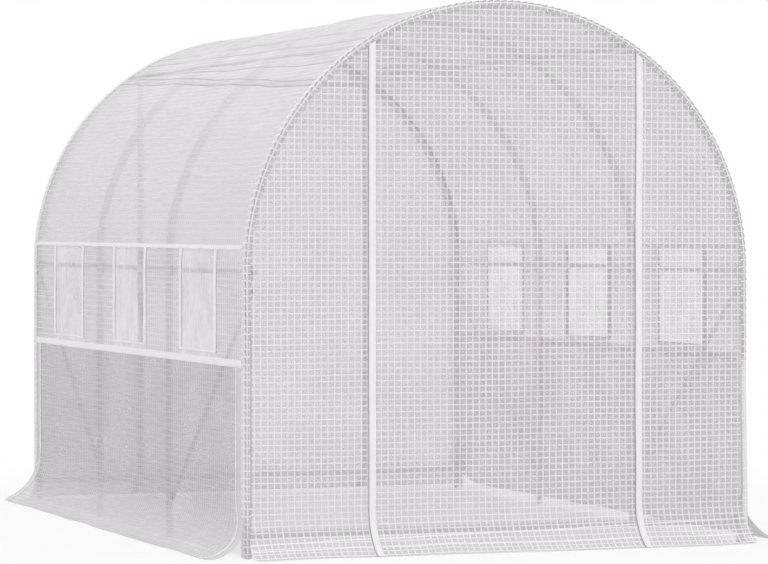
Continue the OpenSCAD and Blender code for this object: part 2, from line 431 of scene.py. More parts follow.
def blend(mask, low, high):
    """The colour low where the mask is 0 and high where it is 1."""
    node = tree_of(mask, low, high).nodes.new("ShaderNodeMix")
    node.data_type = "RGBA"
    low, high = ((*c, 1) if isinstance(c, tuple) else c for c in (low, high))
    fill(node, {"Factor": mask, "A": low, "B": high})
    return node.outputs["Result"]


def bump(height, distance, strength, normal=None):
    """The normal of a Bump node, on top of another one's if there is one."""
    node = tree_of(height).nodes.new("ShaderNodeBump")
    fill(node, {"Height": height, "Distance": distance, "Strength": strength})
    if normal:
        feed(node.inputs["Normal"], normal)
    return node.outputs[0]


def place_net(cloth, pitches, thread, wander):
    """The masks of threads and crossings from the thread net group with those values."""
    net = tree_of(cloth).nodes.new("ShaderNodeGroup")
    net.node_tree = thread_net
    for socket, value in zip(net.inputs, (cloth, *pitches, thread, wander)):
        feed(socket, value)
    return net.outputs["Threads"], net.outputs["Crossings"]


def aslant(alpha):
    """Alpha of a milky sheet for any angle of sight, from its alpha when seen straight on."""
    tree = tree_of(alpha)
    facing = tree.nodes.new("ShaderNodeLayerWeight").outputs["Facing"]
    straight = most(minus(1.0, facing), STEEPEST)
    path = tree.nodes.new("ShaderNodeLightPath").outputs
    light = most(path["Is Shadow Ray"], path["Is Diffuse Ray"])
    veil = times(alpha, step(light, 0, 1, 1.0, LIGHT_HELD))
    clear = calc("POWER", minus(1.0, veil), calc("POWER", straight, ASLANT_POWER))
    return minus(1.0, clear)


print("share of its alpha that holds light back:", LIGHT_HELD)

# %% Film materials
FILM_PITCH, FILM_THREAD, FILM_WANDER = (0.0258, 0.0228), 0.0056, 0.0007
FILM = ((0.66, 0.637, 0.66), (0.81, 0.782, 0.81))
# The roof's copy of the film has paler cells: painted light, for the roof faces the top light and is
# seen aslant.
LIT_ROOF_FILM = ((0.725, 0.70, 0.725), (0.815, 0.787, 0.815))
# The skirts' copy of the film is darker: painted shade on the low upright film.
SHADED_SKIRT_FILM = ((0.50, 0.482, 0.50), (0.66, 0.637, 0.66))
END_FILM = ((0.595, 0.574, 0.595), (0.89, 0.859, 0.89))
HEM, FOLD_SHADE, CREASE = (0.70, 0.676, 0.70), (0.48, 0.463, 0.48), (0.97, 0.94, 0.97)
FILM_ALPHAS, SOFT_ALPHAS = (0.30, 0.55), (0.28, 0.41)
HOOP_SHADE_W, CREASE_SWAY = 0.022, 0.02


def film_material(
    name, colours=FILM, alphas=FILM_ALPHAS, hem_from=None, creases=(), crease_colour=CREASE,
    ridge=None, hoop_shade=0.0, rim=0.0,
):
    """Reinforced film, with colours and alphas of its cells and threads. Past hem_from it is a plain
    double hem; creases are lines (place, slope), which a ridge mirrors. Along each hoop it gets a line
    of painted shade and along its hem's edge a band of it; the last two values set how grey they are."""
    material, shader, cloth = new_material(name)
    threads, crossings = place_net(cloth, FILM_PITCH, FILM_THREAD, FILM_WANDER)
    along, across = parts_of(cloth)[:2]
    haze = step(noise(cloth, 3.2, 2, 0.6), 0.3, 0.7, -0.05, 0.05)
    base = plus(haze, alphas[0])
    colour = blend(threads, *colours)
    if hem_from:
        hem = step(calc("ABSOLUTE", along), hem_from, hem_from + 0.004)
        threads = times(threads, minus(1.0, hem))
        base = plus(base, times(hem, 0.18))
        # On the skirt the colour turns to HEM's paler one towards its foot, where it lies out on the
        # ground: painted light on the flat film.
        plain = most(hem, step(across, 0.06, 0.34, 0.75, 0.0))
        colour = blend(plain, colour, HEM)
    # Painted shade: a grey line along each hoop, where the film lies on the steel.
    if hoop_shade:
        shade_on_hoop = thread_mask(along, HOOP_GAP, HOOP_SHADE_W)
        colour = blend(times(shade_on_hoop, hoop_shade), colour, FOLD_SHADE)
    # Painted shade: a grey band along the hem's edge, where the film meets the floor.
    if rim:
        colour = blend(step(across, 0.005, 0.011, rim, 0.0), colour, FOLD_SHADE)
    weave = plus(threads, crossings)
    if creases:
        if ridge:
            across = plus(calc("ABSOLUTE", minus(across, ridge)), ridge)
        sway = times(noise(stretch(cloth, (2.4, 0, 0)), 1.0), CREASE_SWAY)
        across = minus(plus(across, CREASE_SWAY / 2), sway)
    crease = 0.0
    for place, slope in creases:
        line = calc("MULTIPLY_ADD", along, slope, place)
        away = calc("ABSOLUTE", minus(across, line))
        crease = most(crease, step(away, 0.0015, 0.0045, 0.95, 0.0))
    threads = most(threads, crease)
    solid = times(threads, alphas[1] - alphas[0])
    fill(shader, {
        "Base Color": blend(crease, colour, crease_colour),
        "Alpha": aslant(plus(base, solid)),
        "Roughness": step(threads, 0, 1, 0.34, 0.65),
        "Normal": bump(weave, 0.0005, 0.8),
        "Specular IOR Level": 0.1,
    })
    return material


LEFT_FOLDS = (
    (2.02, 0.005), (2.10, -0.01), (2.175, 0.0), (2.22, -0.0325), (2.277, -0.0617), (2.312, -0.0566),
)
ROOF_FOLDS = LEFT_FOLDS + tuple((HALF_ROUND - place, -slope) for place, slope in LEFT_FOLDS)
HEM_CREASES = ((0.102, 0.025), (0.054, 0.005))
film_look = film_material("reinforced_film", alphas=SOFT_ALPHAS)
# The roof's crease lines are drawn in FOLD_SHADE: painted shade in its wrinkles.
roof_look = film_material(
    "roof_film", LIT_ROOF_FILM, SOFT_ALPHAS, creases=LEFT_FOLDS, crease_colour=FOLD_SHADE,
    ridge=HALF_ROUND / 2, hoop_shade=0.4,
)
skirt_look = film_material("skirt_film", SHADED_SKIRT_FILM, hem_from=PIPING_Y)
end_look = film_material("end_film", END_FILM, creases=HEM_CREASES, rim=0.6)
print("materials made:", *(look.name for look in (film_look, roof_look, skirt_look, end_look)))

# %% [markdown]
# ## The roof sheet
# One wide sheet goes over the arch from the upper tape on one side to the one on the
# other. It is tight over the hoops and slack between them: it sags a little there, a loose
# fold stands up behind the second hoop, and long wrinkles run beside the ridge.

# %% Roof sheet
ROOF_EDGE = math.asin((UPPER_TAPE[0] - SPRING_Z) / COVER_R)


def roof_wave(y, angle):
    """How far the roof stands off the arch, outwards."""
    from_ridge = angle - math.pi / 2
    ridge, flank = hump(from_ridge, 0, 0.30), hump(np.abs(from_ridge), 0.95, 0.35)
    fold, bay = hump(y, -0.37, 0.14), bay_wave(y)
    arc = COVER_R * from_ridge
    ends = smooth(0, 0.10, WALL_Y - np.abs(y))
    wrinkles = np.sin(2 * math.pi * arc / 0.062 + 2.2 * np.sin(2.1 * y + 0.6) + 0.9 * y)
    pinched = sum(hump(COVER_R * angle - slope * y, place, 0.010) for place, slope in ROOF_FOLDS)
    return ends * (
        ridge * (0.013 * fold - 0.003 * bay)
        - 0.009 * bay * flank
        - 0.0035 * pinched * (0.3 + bay)
        + 0.0030 * ridge * (0.35 + bay) * wrinkles
        + 0.0018 * bay * soft_noise(y, arc, 0.30, 21)
    )


def roof_shape(s, t):
    angle, y = ROOF_EDGE + s * (math.pi - 2 * ROOF_EDGE), (2 * t - 1) * WALL_Y
    r = COVER_R + roof_wave(y, angle)
    place = np.stack([r * np.cos(angle), y, SPRING_Z + r * np.sin(angle)], axis=1)
    return place, (y, COVER_R * angle)


roof_sheet = lay_sheet("roof_film", (360, 100), (0, 0, 1), FILM_T, roof_shape)
finish(roof_sheet, roof_look, "cover_film", "roof_sheet")

# %% [markdown]
# ## The skirts and the window walls
# Below the roof each side has two more sheets. The window wall is a straight band with
# three openings, so the grid's lines are set on the edges of the openings and the faces
# inside them are deleted. The skirt hangs from the lower tape and lies out on the ground,
# where its ends fan out. A fan is given as its reach and the two lengths it fades between.

# %% Skirts
WIDE_FAN, NARROW_FAN = (0.095, 0.10, 0.29), (0.060, 0.06, 0.33)
SKIRT_CORNER = 0.06


def skirt_half(length, fan):
    """Half of a skirt's own length at each length from its hem: it fans out and has round corners."""
    reach, low, high = fan
    corner = SKIRT_CORNER * round_off(length, SKIRT_CORNER)
    return SKIRT_Y + reach * smooth(high, low, length) - corner


def fan_out(side, y, length):
    """The place along the wall of a point of the skirt that lies at y on the flat cloth. The front left
    and rear right corners fan out wide and the two others less."""
    near_end = smooth(PIPING_Y - 0.14, PIPING_Y + 0.02, np.abs(y))
    half = np.where(side * y > 0, skirt_half(length, WIDE_FAN), skirt_half(length, NARROW_FAN))
    return y + np.sign(y) * near_end * (half - SKIRT_Y)


def skirt_shape(s, t, side):
    y, length = (2 * s - 1) * SKIRT_Y, t * SKIRT_TOP
    return side_place(side, fan_out(side, y, length), length, 0), (y, length)


skirts = {}
for word, side in SIDES:
    skirts[word] = lay_sheet(f"{word}_skirt_film", (150, 44), (side, 0, 0), FILM_T, skirt_shape, side)
    finish(skirts[word], skirt_look, "cover_film", f"{word}_skirt")
print("skirts:", round(SKIRT_TOP, 3), "by", round(2 * SKIRT_Y, 3), "m without fans")

# %% Window walls with their openings
WALL_GAP = 0.02


def edge_lines(*edges):
    """Places of grid lines, on every edge and about WALL_GAP apart between them."""
    lines = [edges[0]]
    for low, high in zip(edges, edges[1:]):
        count = max(1, round((high - low) / WALL_GAP))
        lines += [low + (high - low) * (i + 1) / count for i in range(count)]
    return np.array(lines)


def at_line(lines, share):
    """The place of the grid line at that share of their number."""
    return lines[np.rint(share * (len(lines) - 1)).astype(int)]


window_edges = [y + half for y in WINDOW_YS for half in (-WINDOW_W / 2, WINDOW_W / 2)]
WALL_COLUMNS = edge_lines(-WALL_Y, *window_edges, WALL_Y)
WALL_ROWS = edge_lines(LOWER_TAPE[0], WINDOW_FOOT, WINDOW_TOP, UPPER_TAPE[0])


def window_wall_shape(s, t, side):
    y, length = at_line(WALL_COLUMNS, s), side_length(at_line(WALL_ROWS, t))
    return side_place(side, y, length, 0), (y, length)


def in_window(face):
    """Whether the middle of a face lies in a window."""
    x, y, z = face.center
    return WINDOW_FOOT < z < WINDOW_TOP and any(abs(y - middle) < WINDOW_W / 2 for middle in WINDOW_YS)


wall_grid = (len(WALL_COLUMNS) - 1, len(WALL_ROWS) - 1)
for word, side in SIDES:
    wall = lay_sheet(f"{word}_wall_film", wall_grid, (side, 0, 0), 0, window_wall_shape, side)
    pick(wall, "FACE", in_window)
    bpy.ops.mesh.delete(type="FACE")
    bpy.ops.object.mode_set(mode="OBJECT")
    thicken(wall, FILM_T)
    finish(wall, film_look, "cover_film", f"{word}_window_wall")
print("faces of a window wall:", len(wall.data.polygons))

# %% [markdown]
# ## The end walls
# Each end is closed by three sheets: a roll-up door between two zips, and a panel on each
# side of it. Their columns are upright lines that end on the arch, and near the arch's
# foot, where the edge gets steep, the columns stand closer together.

# %% End panels and doors
END_PARTS = {"left_panel": -1, "door": 0, "right_panel": 1}
EDGE_R = COVER_R - BIND_FACE + 0.004
FOOT_HALF = {-1: 0.995, 1: 1.006}
END_CORNER_W, END_CORNER_H, GAPE_W = 0.014, 0.016, 0.0075


def end_top(x, r):
    """Length along the end wall up to an arch of radius r, at each x."""
    return end_length(SPRING_Z) + np.sqrt(np.maximum(r * r - x * x, 0))


def gape(z):
    """1 where the seam between binding and end wall stands open and the leg shows, else 0."""
    return smooth(0.17, 0.20, z) * smooth(0.86, 0.78, z)


def end_edge(side, s):
    """Half width of the end wall at each length: wider at the foot, with round corners."""
    wide = EDGE_R + (FOOT_HALF[side] - EDGE_R) * smooth(0.17, 0.05, s)
    return wide - GAPE_W * gape(s - end_length(0)) - END_CORNER_W * round_off(s, END_CORNER_H)


def end_panel_shape(s, t, end, side):
    """Side 0 is the door, and -1 and 1 are the panels beside it."""
    if side == 0:
        x = DOOR_MIDDLE + (2 * s - 1) * (DOOR_HALF - SEAT / 2)
        length = t * end_top(x, EDGE_R)
    else:
        near = DOOR_HALF + side * DOOR_MIDDLE + SEAT / 2
        x = near + (EDGE_R - near) * (1 - (1 - s) ** 1.7)
        length = t * end_top(x, EDGE_R)
        x = side * (near + (x - near) * (end_edge(side, length) - near) / (EDGE_R - near))
    return end_place(end, x, length, 0), (x, length)


panels = {}
for word, end in ENDS:
    for part, side in END_PARTS.items():
        name, grid = f"{word}_{part}", (28 if side else 54, 112)
        piece = lay_sheet(f"{name}_film", grid, (0, end, 0), FILM_T, end_panel_shape, end, side)
        panels[name] = finish(piece, end_look, "cover_film", name)
print("end sheets:", ", ".join(panels))

# %% [markdown]
# ## White tapes
# Plain woven tape covers the seams: two along each side and one over each zip. A tape is
# a narrow grid with a low crown, so that its edges catch a thin shadow. The finish has
# fine ribs across and a row of stitches along each edge. The picture shows the right side
# from inside, where daylight comes through the tape: light scatters under its surface.

# %% Tape material
TAPE_WHITE, TAPE_SOILED = (0.94, 0.91, 0.94), (0.88, 0.85, 0.88)
RIB_PITCH, RIB_W = 0.0022, 0.0013
STITCH_PITCH, STITCH_L, STITCH_W, STITCH_ROWS = 0.006, 0.0042, 0.0016, 0.72
GLOW_DEPTH = 0.0015


def tape_material(name, colour, dark, width, glow=0.0):
    """Woven tape: ribs across its length, and stitches near both edges. Glow is the share of light
    that goes into the cloth and comes out on either side."""
    material, shader, cloth = new_material(name)
    along, over = parts_of(cloth)[:2]
    ribs = thread_mask(along, RIB_PITCH, RIB_W)
    rows = thread_mask(over, width * STITCH_ROWS, STITCH_W)
    stitch = times(rows, thread_mask(along, STITCH_PITCH, STITCH_L))
    soil = step(noise(cloth, 9, 4, 0.6), 0.35, 0.75)
    fill(shader, {
        "Base Color": blend(times(soil, 0.6), colour, dark),
        "Roughness": step(ribs, 0, 1, 0.75, 0.6),
        "Normal": bump(stitch, 0.0008, 0.9, bump(ribs, 0.0003, 0.6)),
        "Subsurface Weight": glow,
        "Subsurface Radius": (1, 1, 1),
        "Subsurface Scale": GLOW_DEPTH,
    })
    return material


tape_look = tape_material("white_tape", TAPE_WHITE, TAPE_SOILED, LOWER_TAPE[1], glow=0.6)
print("material made:", tape_look.name)

# %% Side tapes
TAPE_T, TAPE_CROWN = 0.0014, 0.0012
UPPER_SEAM = (UPPER_TAPE[0] - 0.0025, 0.015)


def crown(t, height):
    """Height over a tape's width: rounded edges and a flat middle."""
    return height * np.clip(1 - np.abs(2 * t - 1) ** 6, 0, 1)


def side_tape_shape(s, t, side, middle, width):
    y, over = (2 * s - 1) * TAPE_Y, (t - 0.5) * width
    off = SEAT + TAPE_T + crown(t, TAPE_CROWN)
    return side_place(side, y, side_length(middle) + over, off), (y, over)


for word, side in SIDES:
    for level, seam in (("upper", UPPER_SEAM), ("lower", LOWER_TAPE)):
        name, part = f"{word}_{level}_tape", f"{word}_{level}_seam_tape"
        tape = lay_sheet(part, (150, 10), (side, 0, 0), TAPE_T, side_tape_shape, side, *seam)
        finish(tape, tape_look, "white_tape", name)

# %% [markdown]
# ## Zips
# Each door hangs between two zips. What shows is a tape that is sewn down along one edge
# and covers the zip's coil, with its free edge standing off a little. A thin grey line of
# coil looks out under that edge.

# %% Zip tapes and coils
COIL_W, COIL_T, COIL_CROWN, ZIP_LIFT = 0.005, 0.001, 0.0004, 0.0028


def zip_shape(s, t, end, middle, width, lift, height):
    """A strip up the end wall; its left edge, seen from the front, stands off by lift."""
    x = middle + (s - 0.5) * width
    length = t * end_top(x, TRIM_R)
    off = SEAT + TAPE_T + crown(s, height) + lift * (1 - s) ** 3
    return end_place(end, x, length, off), (length, x - middle)


coil_look = tape_material("zip_coil", (0.42, 0.42, 0.43), (0.34, 0.34, 0.35), COIL_W)
zip_tapes, zip_coils = {}, {}
for word, end in ENDS:
    strips, coils = [], []
    for x in ZIP_XS:
        tape = (end, x, ZIP_W, ZIP_LIFT, TAPE_CROWN)
        strips.append(lay_sheet(f"{word}_zip", (8, 120), (0, end, 0), TAPE_T, zip_shape, *tape))
        coil = (end, x - ZIP_W / 2, COIL_W, 0, COIL_CROWN)
        coils.append(lay_sheet(f"{word}_coil", (4, 120), (0, end, 0), COIL_T, zip_shape, *coil))
    strips, coils = join_parts(f"{word}_zip_tapes", strips), join_parts(f"{word}_zip_coils", coils)
    zip_tapes[word] = finish(strips, tape_look, "white_tape", f"{word}_zips")
    zip_coils[word] = finish(coils, coil_look, "white_tape")
print("zips at x =", [round(x, 3) for x in ZIP_XS])

# %% [markdown]
# ## Binding of the end arches
# Where the roof meets an end wall, a strip of the same film is folded over the edge and
# sewn down on both sides. It is one grid that runs along the arch from foot to foot and is
# folded across its width, so its threads look like the rungs of a ladder. Over the roof's
# edge it is white and dense, and low on the right leg it is smooth.

# %% Binding material
RUNG, RUNG_W, RUNG_WANDER = 0.0275, 0.0052, 0.0003
BIND_LEG = SPRING_Z - BIND_FOOT
SMOOTH_FROM = BIND_LEG + HALF_ROUND + 0.30
SMOOTH_TO = SMOOTH_FROM + 0.08
RUNG_WHITE, FOLD_WHITE = (0.88, 0.85, 0.88), (0.95, 0.92, 0.95)
binding_look, shader, cloth = new_material("folded_binding")
net, crossings = place_net(cloth, (FILM_PITCH[0], RUNG), RUNG_W, RUNG_WANDER)
over, along = parts_of(cloth)[:2]
dense = step(over, BIND_FACE - 0.001, BIND_FACE + 0.003, 0.0, 0.62)
plain = most(dense, step(along, SMOOTH_FROM, SMOOTH_TO, 0.0, 0.7))
threads = most(net, plain)
fill(shader, {
    "Base Color": blend(threads, FILM[0], blend(plain, RUNG_WHITE, FOLD_WHITE)),
    "Alpha": aslant(step(threads, 0, 1, 0.2, 0.8)),
    "Roughness": step(threads, 0, 1, 0.35, 0.6),
    "Normal": bump(plus(net, crossings), 0.0008, 0.9),
    "Specular IOR Level": 0.3,
})
print("material made:", binding_look.name)

# %% Binding
BIND_T, BIND_W = 0.0014, BIND_FACE + BIND_SIDE
BIND_PROUD = SEAT + BIND_T + 0.0006
BIND_L = 2 * BIND_LEG + HALF_ROUND
SCALLOPS = {-1: 0.0017, 1: 0.0008}


def binding_shape(s, t, end):
    """A folded band along the cover's outline, from the left foot over to the right one."""
    length, width = t * BIND_L, s * BIND_W
    height = BIND_FOOT + np.minimum(length, BIND_L - length)
    inset = np.where(width < BIND_FACE, (BIND_FACE - width) * (1 - 0.15 * gape(height)), 0)
    r = COVER_R - inset + BIND_PROUD * smooth(0.010, BIND_FACE, width)
    scallop = SCALLOPS[end] * np.sin(2 * math.pi * length / RUNG) * smooth(0.012, BIND_FACE, width)
    r = r + scallop * smooth(SMOOTH_TO, SMOOTH_FROM, length)
    y = WALL_Y + BIND_PROUD * smooth(BIND_FACE + 0.006, BIND_FACE - 0.001, width)
    y = y - np.maximum(width - BIND_FACE, 0)
    angle = np.clip((length - BIND_LEG) / COVER_R, 0, math.pi)
    down = np.where(length < BIND_LEG, BIND_LEG - length, np.maximum(length - BIND_LEG - HALF_ROUND, 0))
    lean = 0.009 * smooth(0.35, 1.0, down) * (length > BIND_LEG)
    x, z = -np.cos(angle) * (r + lean), SPRING_Z + np.sin(angle) * r - down
    return np.stack([x, end * y, z], axis=1), (width, length)


for word, end in ENDS:
    piece = lay_sheet(f"{word}_arch_binding", (12, 1500), (0, end, 0.4), BIND_T, binding_shape, end)
    finish(piece, binding_look, "binding", f"{word}_binding")
print("binding is", round(BIND_W * 1000), "mm wide")

# %% [markdown]
# ## Piping on the skirts
# Near both ends of a skirt the film has a thin sewn fold, the piping. It is a narrow grid,
# bowed into half a round, which follows the skirt from the lower tape down to the hem.

# %% Piping
PIPING_W, PIPING_H, PIPING_T = 0.007, 0.0035, 0.0008
PIPING_TOP = SKIRT_TOP - LOWER_TAPE[1] / 2 - SEAT


def piping_shape(s, t, side, middle):
    y, length = middle + (s - 0.5) * PIPING_W, t * PIPING_TOP
    off = SEAT + PIPING_T + PIPING_H * np.sqrt(np.maximum(1 - (2 * s - 1) ** 2, 0))
    return side_place(side, fan_out(side, y, length), length, off), (length, y - middle)


for word, side in SIDES:
    folds = [
        lay_sheet(f"{word}_fold", (8, 60), (side, 0, 0), PIPING_T, piping_shape, side, y)
        for y in (-PIPING_Y, PIPING_Y)
    ]
    folds = join_parts(f"{word}_skirt_piping", folds)
    finish(folds, tape_look, "white_tape", f"{word}_piping")
print("piping at y = +-", round(PIPING_Y, 3))

# %% [markdown]
# ## Windows
# Each window is an opening with a fine insect screen in it and a flap of plain milky film
# over it. The flap hangs from the upper tape. White strips hold its sides and a hem closes
# its foot, so it is flat there and only its middle has upright creases. The right flaps are
# seen from inside against the light, so their film is made clearer than that of the left
# ones, and its colour is painted paler: painted light from behind.

# %% Window materials
MILK_RANGE, HEM_MILK = 0.04, 0.14
SCREEN_PITCH, SCREEN_THREAD, SCREEN_WANDER = (0.003, 0.003), 0.0011, 0.0003
SCREEN_CELL, SCREEN_WHITE = (0.85, 0.825, 0.85), (0.9, 0.9, 0.91)


def flap_material(name, low, high, alpha):
    """Plain milky film with fine upright streaks, from the colour low to high."""
    material, shader, cloth = new_material(name)
    streaks = noise(stretch(cloth, (60, 6, 1)), 1.0, 4, 0.6)
    veil = plus(streaks, noise(cloth, 7, 3, 0.5))
    milk = step(veil, 0.7, 1.3, alpha - MILK_RANGE, alpha + MILK_RANGE)
    hem = step(parts_of(cloth)[1], HEM_TOP - 0.001, HEM_TOP + 0.001, HEM_MILK, 0.0)
    fill(shader, {
        "Base Color": blend(step(veil, 0.7, 1.3), low, high),
        "Alpha": aslant(plus(milk, hem)),
        "Roughness": step(streaks, 0.3, 0.7, 0.28, 0.42),
        "Normal": bump(streaks, 0.0015, 0.5),
    })
    return material


flap_looks = {
    "left": flap_material("milky_film", (0.74, 0.714, 0.74), (0.90, 0.87, 0.90), 0.24),
    # The right flaps' paler colours are painted light from behind.
    "right": flap_material("clear_film_painted_light", (0.92, 0.888, 0.92), (0.97, 0.94, 0.97), 0.06),
}
screen_look, shader, cloth = new_material("insect_net")
threads = place_net(cloth, SCREEN_PITCH, SCREEN_THREAD, SCREEN_WANDER)[0]
fill(shader, {
    "Base Color": blend(threads, SCREEN_CELL, SCREEN_WHITE),
    "Alpha": aslant(step(threads, 0, 1, 0.01, 0.06)),
    "Roughness": step(threads, 0, 1, 0.7, 0.5),
    "Normal": bump(threads, 0.0003, 0.7),
})
print("materials made:", *(look.name for look in flap_looks.values()), screen_look.name)

# %% Flaps, strips and screens
FLAP_T, TRIM_T, TRIM_CROWN, SCREEN_T, SCREEN_BELLY = 0.001, 0.0014, 0.0010, 0.0008, 0.003
STRIP_W, SEAM_H, CREASE_H = 0.030, 0.007, 0.0035


def flap_shape(s, t, side, middle, seed):
    """Upright creases in the middle of a flap, none under the strips, the hem and the tape."""
    y, z = (2 * s - 1) * FLAP_HALF, FLAP_FOOT + t * (FLAP_TOP - FLAP_FOOT)
    free = smooth(0, 0.05, FLAP_HALF - STRIP_W - np.abs(y)) * smooth(HEM_TOP, HEM_TOP + 0.06, z)
    free = free * smooth(FLAP_TOP, FLAP_TOP - 0.05, z)
    folds = soft_noise(y * 4.5 + 0.12 * z, z * 0.5, 0.34, seed)
    folds = folds + 0.6 * soft_noise(y * 9, z, 0.4, seed + 1)
    off = SEAT + FLAP_T + CREASE_H * free * (1 + 0.6 * folds)
    return side_place(side, middle + y, side_length(z), off), (y, z)


def strip_shape(s, t, side, y0, y1, z0, z1):
    """A flat band over the flap between two places along the wall and two heights."""
    y, z = y0 + s * (y1 - y0), z0 + t * (z1 - z0)
    upright, level = (s, y - (y0 + y1) / 2, z), (t, z - (z0 + z1) / 2, y)
    share, over, along = upright if y1 - y0 < z1 - z0 else level
    off = 2 * SEAT + FLAP_T + TRIM_T + crown(share, TRIM_CROWN)
    return side_place(side, y, side_length(z), off), (along, over)


def screen_shape(s, t, side, middle):
    y = (2 * s - 1) * (WINDOW_W / 2 - SEAT)
    z = WINDOW_FOOT + SEAT + t * (WINDOW_TOP - WINDOW_FOOT - 2 * SEAT)
    off = -SCREEN_T - SCREEN_BELLY * np.sin(math.pi * s) * np.sin(math.pi * t)
    return side_place(side, middle + y, side_length(z), off), (y, z)


flaps, screens, flap_strips = {}, {}, {}
for word, side in SIDES:
    strips, outward = [], (side, 0, 0)
    for i, middle in enumerate(WINDOW_YS, 1):
        name, seed = f"{word}_window_flap_{i}", 30 + 4 * i
        flap = lay_sheet(name, (60, 40), outward, FLAP_T, flap_shape, side, middle, seed)
        flaps[name] = finish(flap, flap_looks[word], "window_flap", f"{word}_flaps")
        name = f"{word}_insect_screen_{i}"
        screen = lay_sheet(name, (16, 16), outward, SCREEN_T, screen_shape, side, middle)
        screens[name] = finish(screen, screen_look, "insect_screen", f"{word}_screens")
        low, high = middle - FLAP_HALF, middle + FLAP_HALF
        for band in (
            (low, low + STRIP_W, HEM_TOP, FLAP_TOP),
            (high - STRIP_W, high, HEM_TOP, FLAP_TOP),
            (low, high, HEM_TOP - SEAM_H, HEM_TOP),
        ):
            strips.append(lay_sheet(f"{word}_band", (24, 24), outward, TRIM_T, strip_shape, side, *band))
    strips = join_parts(f"{word}_flap_strips", strips)
    flap_strips[word] = finish(strips, tape_look, "white_tape", f"{word}_flap_trims")
print("windows:", len(flaps), "flaps and", len(screens), "screens")

# %% [markdown]
# ## Steel tubes
# The hoops, legs, purlins and braces keep their CAD shape. Their finish is galvanised
# steel: dull grey with faint frost-like flakes of zinc, which Voronoi cells imitate, and
# slightly darker patches.

# %% Galvanised finish
STEEL_DARK, STEEL_PALE = (0.54, 0.53, 0.545), (0.76, 0.745, 0.76)
FLAKE_SCALE = 160
steel_look, shader, where = new_material("galvanised_steel", on_cloth=False)
flakes = add_node("TexVoronoi", where)
fill(flakes, {"Scale": FLAKE_SCALE})
grey = add_node("SeparateColor", flakes.outputs["Color"]).outputs[0]
dull = noise(where, 14, 4, 0.6, "3D")
patch = plus(times(grey, 0.5), times(dull, 0.6))
fill(shader, {
    "Base Color": blend(patch, STEEL_DARK, STEEL_PALE),
    "Roughness": step(patch, 0.2, 0.9, 0.58, 0.38),
    "Normal": bump(dull, 0.0004, 0.4),
    "Metallic": 0.4,
})
steel_nodes = [s["node"] for s in frame["record"]["subparts"] if s.get("material_slot") == "steel_tube"]
for name in steel_nodes:
    nodes[name].data.materials.clear()
    nodes[name].data.materials.append(steel_look)
print("steel nodes:", len(steel_nodes))

# %% [markdown]
# ## Straps and bolts of the frame
# Where a purlin or a rail lies against a hoop, a bent steel strap bridges it and is bolted to
# the hoop on both sides. A strap begins as a flat foot: its edge is pulled up, spun round the
# tube and pulled down and out again. A bolt is a hexagon and a washer with rounded rims. One
# strap of each size and one bolt are modelled, and the rest are copies.

# %% Bolt and strap models
STRAP_W, STRAP_T, FOOT_L = 0.011, 0.0014, 0.016
WASHER_R, WASHER_T, HEAD_R, HEAD_H = 0.0062, 0.0012, 0.0046, 0.0034
RIM, SUNK, TOUCH = 0.0005, 0.001, 1e-5
PURLIN_TUBE, RAIL_TUBE = 0.0098, 0.0128


def rounded_disc(vertices, radius, low, high):
    """A short upright cylinder with a rounded upper rim."""
    bpy.ops.mesh.primitive_cylinder_add(
        vertices=vertices, radius=radius, depth=high - low, location=(0, 0, (low + high) / 2)
    )
    disc = bpy.context.active_object
    pick(disc, "FACE", lambda face: face.normal.z > 0.9)
    bpy.ops.mesh.bevel(offset=RIM, segments=2)
    bpy.ops.object.mode_set(mode="OBJECT")
    bpy.ops.object.transform_apply()
    return disc


def place_copy(model, place, up, along):
    """A copy of a model with its z axis turned to up and its x axis to along."""
    choose(model)
    bpy.ops.object.duplicate()
    piece = bpy.context.active_object
    z, x = Vector(up).normalized(), Vector(along).normalized()
    turn = Matrix((x, z.cross(x), z)).transposed().to_4x4()
    piece.matrix_world = Matrix.Translation(place) @ turn
    bpy.ops.object.transform_apply()
    return piece


def pull(*way):
    """Extrudes what is selected along that way."""
    bpy.ops.mesh.extrude_region_move(TRANSFORM_OT_translate={"value": way})


def model_strap(tube_r):
    """A strap over a tube along x, whose feet stand on z = 0."""
    reach, foot_y = tube_r + STRAP_T, tube_r + STRAP_T + FOOT_L / 2
    bpy.ops.mesh.primitive_plane_add(size=1)
    strap = bpy.context.active_object
    bpy.ops.object.mode_set(mode="EDIT")
    bpy.ops.transform.resize(value=(STRAP_W, FOOT_L, 1))
    bpy.ops.transform.translate(value=(0, -foot_y, STRAP_T))
    points = strap.data.vertices
    pick(strap, "EDGE", lambda edge: all(points[v].co.y > -reach - TOUCH for v in edge.vertices))
    pull(0, 0, tube_r - STRAP_T)
    bpy.ops.mesh.spin(steps=12, angle=-math.pi, center=(0, 0, tube_r), axis=(1, 0, 0))
    pull(0, 0, STRAP_T - tube_r)
    pull(0, FOOT_L, 0)
    bpy.ops.mesh.select_all(action="SELECT")
    bpy.ops.mesh.remove_doubles(threshold=TOUCH)
    bpy.ops.mesh.normals_make_consistent()
    bpy.ops.object.mode_set(mode="OBJECT")
    face_along(strap, (0, 0, 1))
    thicken(strap, STRAP_T)
    bolts = [place_copy(bolt, (0, y, STRAP_T), (0, 0, 1), (1, 0, 0)) for y in (-foot_y, foot_y)]
    return join_parts("strap", [strap, *bolts])


washer = rounded_disc(18, WASHER_R, -SUNK, WASHER_T)
head = rounded_disc(6, HEAD_R, WASHER_T, WASHER_T + HEAD_H)
bolt = join_parts("bolt", [washer, head])
purlin_strap, rail_strap = model_strap(PURLIN_TUBE), model_strap(RAIL_TUBE)
print("a strap is", [round(v * 1000, 1) for v in purlin_strap.dimensions], "mm")

